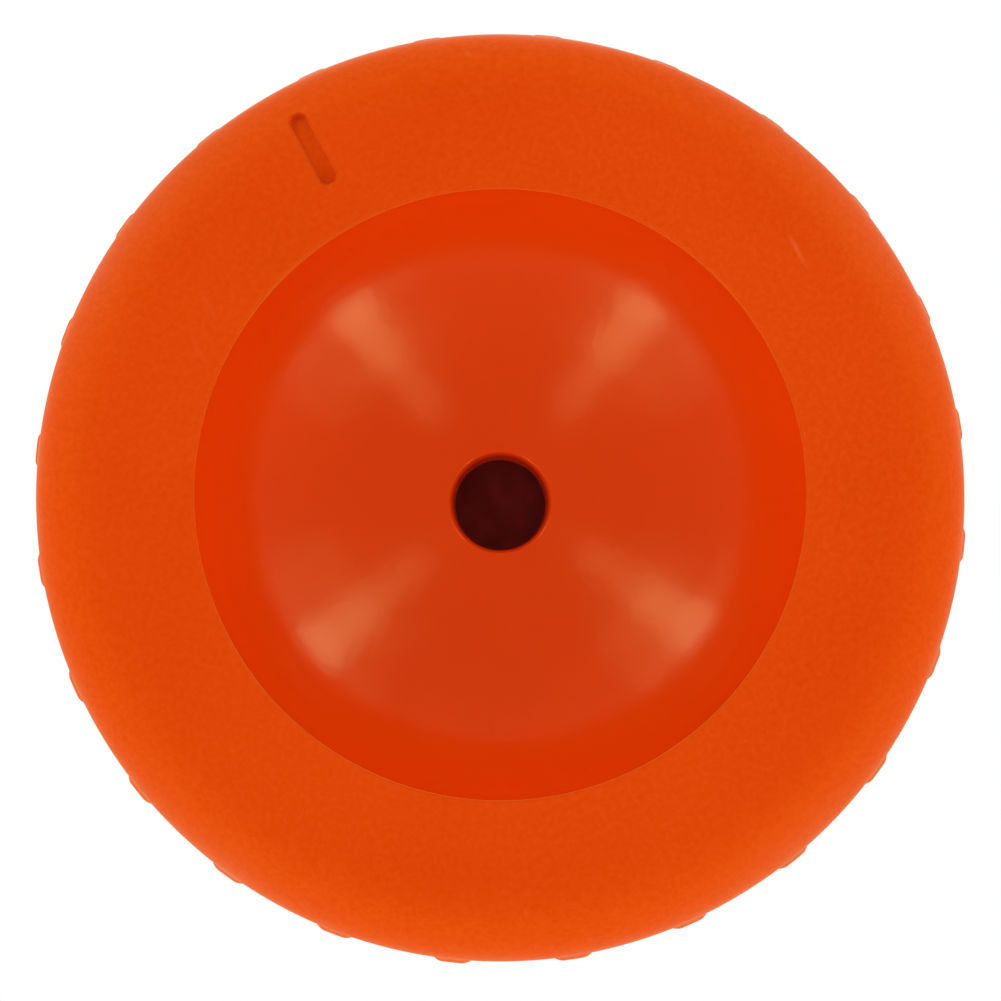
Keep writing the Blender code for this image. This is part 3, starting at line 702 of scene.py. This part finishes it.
def soft_orange():
    """Matte moulded elastomer with a very fine grain, soft colour drift and a few faint scuffs.
    Painted light: the base colour turns lighter over the first 0.7 mm of height, so the rounded
    sides are lighter than the flat foot."""
    shader = Shader("soft_orange_elastomer", 0.6)
    drift = shader.span(shader.noise(70.0, 3.0), 0.35, 0.65, 0.0, 1.0)
    colour = shader.mix(drift, (0.724, 0.0512, 0.0002), (0.752, 0.0562, 0.0005))
    mottle = shader.span(shader.noise(2600.0, 3.0), 0.32, 0.68, 0.0, 1.0)
    lighter = shader.mix(drift, (0.764, 0.0626, 0.0030), (0.792, 0.0676, 0.0042))
    colour = shader.mix(mottle, colour, lighter)
    # Painted light: a lighter colour for the rounded sides, ramped in by height, stands for the
    # brighter light there. The mottle in it is random tone.
    sides = shader.mix(mottle, (0.758, 0.0625, 0.0004), (0.798, 0.0760, 0.0034))
    colour = shader.mix(shader.span(shader.height(), 0.0, 0.7 * MM, 0.0, 1.0), colour, sides)
    scratch = shader.span(shader.noise(900.0, 1.0, (1.0, 0.16, 1.0)), 0.70, 0.78, 0.0, 0.5)
    patch = shader.span(shader.noise(110.0, 1.0), 0.56, 0.64, 0.0, 1.0)
    scuff = shader.math("MULTIPLY", scratch, patch)
    colour = shader.mix(scuff, colour, (0.86, 0.13, 0.03))
    shader.link(colour, "Base Color")
    rough = shader.span(shader.noise(180.0, 3.0), 0.3, 0.7, 0.40, 0.50)
    shader.link(rough, "Roughness")
    shader.set("Specular IOR Level", 0.09)
    shader.set("Specular Tint", (1.0, 0.92, 0.14, 1.0))
    shader.set("Sheen Weight", 0.24)
    shader.set("Sheen Roughness", 0.45)
    shader.set("Sheen Tint", (0.76, 0.66, 0.06, 1.0))
    grain = shader.noise(5200.0, 2.0)
    waves = shader.noise(160.0, 2.0)
    shader.bump((waves, 0.00010), (grain, 0.00002))
    return shader.material


def cup_orange():
    """Smooth semi-gloss plastic turned in its mould: faint rings, spread highlights."""
    shader = Shader("cup_orange_gloss", 0.3)
    drift = shader.span(shader.noise(90.0, 3.0), 0.35, 0.65, 0.0, 1.0)
    colour = shader.mix(drift, (0.785, 0.0485, 0.0003), (0.805, 0.0535, 0.0006))
    speck = shader.span(shader.noise(1900.0, 1.0), 0.70, 0.80, 0.0, 0.5)
    colour = shader.mix(speck, colour, (0.76, 0.040, 0.0004))
    shader.link(colour, "Base Color")
    rough = shader.span(shader.noise(260.0, 3.0), 0.3, 0.7, 0.16, 0.22)
    shader.link(rough, "Roughness")
    shader.set("Specular IOR Level", 0.315)
    shader.set("Specular Tint", (1.0, 0.97, 0.34, 1.0))
    shader.set("Anisotropic", 0.35)
    shader.set("Anisotropic Rotation", 0.25)
    tangent = shader.nodes.new("ShaderNodeTangent")
    tangent.direction_type = "RADIAL"
    tangent.axis = "Z"
    shader.link(tangent.outputs["Tangent"], "Tangent")
    radius = shader.radius()
    rings = shader.math("SINE", shader.math("MULTIPLY", radius, 26000.0), 0.0)
    fine = shader.noise(1400.0, 2.0)
    shader.bump((fine, 0.000012), (rings, 0.0000004))
    return shader.material


def black_plastic(name, roughness):
    shader = Shader(name, roughness)
    drift = shader.span(shader.noise(400.0, 3.0), 0.3, 0.7, 0.0, 1.0)
    shader.link(shader.mix(drift, (0.011, 0.011, 0.012), (0.019, 0.019, 0.020)), "Base Color")
    rough = shader.span(shader.noise(600.0, 3.0), 0.3, 0.7, roughness - 0.06, roughness + 0.08)
    shader.link(rough, "Roughness")
    grain = shader.noise(7000.0, 2.0)
    waves = shader.noise(350.0, 1.0)
    shader.bump((waves, 0.00003), (grain, 0.000012))
    return shader.material


def dark_rubber(name, colour, specular=0.5):
    shader = Shader(name, 0.6)
    shader.set("Specular IOR Level", specular)
    drift = shader.span(shader.noise(700.0, 3.0), 0.3, 0.7, 0.0, 1.0)
    lighter = tuple(channel * 1.5 for channel in colour)
    shader.link(shader.mix(drift, colour, lighter), "Base Color")
    shader.link(shader.span(shader.noise(900.0, 2.0), 0.3, 0.7, 0.5, 0.7), "Roughness")
    shader.bump((shader.noise(5000.0, 2.0), 0.00002))
    return shader.material


def brass():
    """Drawn brass tube with fine lines along it and a little tarnish."""
    shader = Shader("drawn_brass", 0.25, 1.0)
    tarnish = shader.span(shader.noise(500.0, 4.0), 0.45, 0.75, 0.0, 0.7)
    shader.link(shader.mix(tarnish, (0.80, 0.56, 0.24), (0.52, 0.33, 0.13)), "Base Color")
    shader.link(shader.span(shader.noise(900.0, 3.0), 0.3, 0.7, 0.18, 0.34), "Roughness")
    shader.bump((shader.noise(9000.0, 1.0, (1.0, 1.0, 0.02)), 0.000006))
    return shader.material


def steel():
    shader = Shader("ball_steel_polished", 0.15, 1.0)
    tone = shader.span(shader.noise(800.0, 2.0), 0.3, 0.7, 0.0, 1.0)
    shader.link(shader.mix(tone, (0.50, 0.51, 0.52), (0.60, 0.61, 0.62)), "Base Color")
    shader.link(shader.span(shader.noise(1500.0, 3.0), 0.3, 0.7, 0.08, 0.2), "Roughness")
    return shader.material


def satin_orange():
    shader = Shader("valve_orange_satin", 0.4)
    tone = shader.span(shader.noise(600.0, 3.0), 0.3, 0.7, 0.0, 1.0)
    shader.link(shader.mix(tone, (0.40, 0.028, 0.002), (0.46, 0.036, 0.004)), "Base Color")
    shader.link(shader.span(shader.noise(900.0, 2.0), 0.3, 0.7, 0.34, 0.48), "Roughness")
    shader.bump((shader.noise(6000.0, 2.0), 0.00001))
    return shader.material


def finish_inner_pieces():
    """New materials for the CAD pieces that stay as they are."""
    black = black_plastic("valve_black", 0.45)
    finishes = {
        "intake_valve_seat": satin_orange(),
        # Painted shade: the disc's dark red-brown, darker than the orange pieces, stands for the
        # shaded hollow seen through the hole in the base.
        "intake_valve_disc": dark_rubber("disc_rubber_painted_shade", (0.165, 0.0115, 0.0075), 0.12),
        "intake_valve_cage": black,
        "outlet_valve_ball": steel(),
        "outlet_valve_stop": black,
    }
    for node, material in finishes.items():
        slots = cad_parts[node].material_slots
        for slot in slots:
            slot.material = material


# Stage -----------------------------------------------------------------------------------------

def direction(azimuth, elevation):
    return Vector((
        math.cos(elevation) * math.cos(azimuth),
        math.cos(elevation) * math.sin(azimuth),
        math.sin(elevation),
    ))


def make_camera():
    up = direction(CAMERA_UP_AZIMUTH, 0.0)
    right = Vector((0.0, 0.0, 1.0)).cross(up)
    towards = (-up) * math.sin(CAMERA_TILT) - Vector((0.0, 0.0, 1.0)) * math.cos(CAMERA_TILT)
    aim = -up * AIM_DOWN + right * AIM_RIGHT
    position = aim + towards * CAMERA_DISTANCE
    forward = (aim - position).normalized()
    side = forward.cross(up).normalized()
    true_up = side.cross(forward)
    camera = bpy.data.objects.new("photo_camera", bpy.data.cameras.new("photo_camera"))
    camera.data.lens = CAMERA_LENS
    camera.data.sensor_width = CAMERA_SENSOR
    camera.data.clip_start = 0.01
    camera.data.clip_end = 20.0
    rotation = Matrix((side, true_up, -forward)).transposed().to_4x4()
    camera.matrix_world = Matrix.Translation(position) @ rotation
    bpy.context.scene.collection.objects.link(camera)
    bpy.context.scene.camera = camera


def area_light(name, azimuth, elevation, distance, size, size_y, radiance):
    """A rectangular light of a given radiance that faces the origin; size_y runs up and down."""
    data = bpy.data.lights.new(name, "AREA")
    data.shape = "RECTANGLE"
    data.size = size
    data.size_y = size_y
    data.energy = radiance * size * size_y * math.pi
    light = bpy.data.objects.new(name, data)
    light.location = direction(azimuth, elevation) * distance
    light.rotation_mode = "QUATERNION"
    light.rotation_quaternion = light.location.to_track_quat("Z", "Y")
    light.visible_camera = False
    bpy.context.scene.collection.objects.link(light)
    return light


def lamp_column(name, azimuth, rows, distance, size):
    """Lamps one above another, narrower away from the horizon; rows are (elevation, radiance)."""
    lamps = []
    for part, (elevation, radiance) in enumerate(rows):
        tilt = math.radians(elevation)
        width = size[0] * math.cos(tilt)
        lamp_name = f"{name}_{part + 1}"
        lamps.append(area_light(lamp_name, azimuth, tilt, distance, width, size[1], radiance))
    return lamps


def make_lights(floor):
    """Four tall strip lamps on the diagonals round the blower, each with a soft surround, that fade
    towards the view of the base, and one soft lamp above. Those round the blower don't light the
    floor, which they stand too close to."""
    unlit = bpy.data.collections.new("unlit_by_lamps")
    unlit.objects.link(floor)
    unlit.collection_objects[0].light_linking.link_state = "EXCLUDE"
    lamps = []
    base_angle = CAMERA_UP_AZIMUTH + math.pi / 2.0
    side_tilt = math.radians(SIDE_LAMP_ELEVATION)
    for index, (image_angle, side_angle) in enumerate(LAMP_ANGLES):
        azimuth = base_angle - math.radians(image_angle)
        side = base_angle - math.radians(side_angle)
        name = f"side_lamp_{index + 1}"
        size = SIDE_LAMP_SIZE
        lamps.append(area_light(name, side, side_tilt, STRIP_DISTANCE, *size, SIDE_LAMP_RADIANCE))
        lamps += lamp_column(f"strip_lamp_{index + 1}", azimuth, STRIPS, STRIP_DISTANCE, STRIP_SIZE)
        name = f"soft_lamp_{index + 1}"
        lamps += lamp_column(name, azimuth, SURROUNDS, SURROUND_DISTANCE, SURROUND_SIZE)
    for lamp in lamps:
        lamp.light_linking.receiver_collection = unlit
    area_light("top_softbox", math.radians(-60.0), math.radians(66.0), 0.9, 0.7, 0.7, 0.6)


def make_world():
    """White backdrop. The light on the blower is softer, and weakest from straight below."""
    world = bpy.data.worlds.new("studio_white")
    world.use_nodes = True
    nodes = world.node_tree.nodes
    links = world.node_tree.links
    background = nodes["Background"]
    background.inputs["Color"].default_value = (1.0, 1.0, 1.0, 1.0)
    split = nodes.new("ShaderNodeSeparateXYZ")
    links.new(nodes.new("ShaderNodeTexCoord").outputs["Generated"], split.inputs["Vector"])
    ambient = nodes.new("ShaderNodeMapRange")
    ambient.inputs["From Min"].default_value = -1.0
    ambient.inputs["To Min"].default_value = AMBIENT_BELOW
    ambient.inputs["To Max"].default_value = AMBIENT_ABOVE
    links.new(split.outputs["Z"], ambient.inputs["Value"])
    backdrop = nodes.new("ShaderNodeMapRange")
    backdrop.inputs["From Max"].default_value = BACKDROP_RISE
    backdrop.inputs["To Min"].default_value = BACKDROP_LOW
    links.new(split.outputs["Z"], backdrop.inputs["Value"])
    strength = nodes.new("ShaderNodeMapRange")
    seen = nodes.new("ShaderNodeLightPath")
    links.new(seen.outputs["Is Camera Ray"], strength.inputs["Value"])
    links.new(ambient.outputs["Result"], strength.inputs["To Min"])
    links.new(backdrop.outputs["Result"], strength.inputs["To Max"])
    links.new(strength.outputs["Result"], background.inputs["Strength"])
    bpy.context.scene.world = world


def make_floor():
    """Pale floor just under the foot. Its underside is clear, so that the base can be seen."""
    mesh = bmesh.new()
    bmesh.ops.create_circle(mesh, cap_ends=True, radius=FLOOR_RADIUS, segments=96)
    bmesh.ops.translate(mesh, verts=mesh.verts, vec=(0.0, 0.0, -FLOOR_DROP))
    data = bpy.data.meshes.new("floor")
    mesh.to_mesh(data)
    mesh.free()
    floor = bpy.data.objects.new("floor", data)
    bpy.context.scene.collection.objects.link(floor)
    shader = Shader("floor_pale", 0.7)
    tone = shader.span(shader.noise(3.0, 2.0), 0.3, 0.7, 0.0, 1.0)
    shader.link(shader.mix(tone, (0.80, 0.80, 0.80), (0.83, 0.83, 0.83)), "Base Color")
    clear = shader.nodes.new("ShaderNodeBsdfTransparent")
    side = shader.nodes.new("ShaderNodeNewGeometry")
    choice = shader.nodes.new("ShaderNodeMixShader")
    shader.links.new(side.outputs["Backfacing"], choice.inputs[0])
    shader.links.new(shader.principled.outputs["BSDF"], choice.inputs[1])
    shader.links.new(clear.outputs["BSDF"], choice.inputs[2])
    shader.links.new(choice.outputs["Shader"], shader.nodes["Material Output"].inputs["Surface"])
    data.materials.append(shader.material)
    floor.visible_diffuse = False
    floor.visible_glossy = False
    floor.visible_transmission = False
    floor.visible_shadow = False
    return floor


make_camera()
make_bulb()
make_cup()
make_socket()
make_collar()
make_nozzle()
make_tip()
make_seal()
finish_inner_pieces()
make_world()
make_lights(make_floor())
bpy.context.scene.view_settings.view_transform = "Standard"
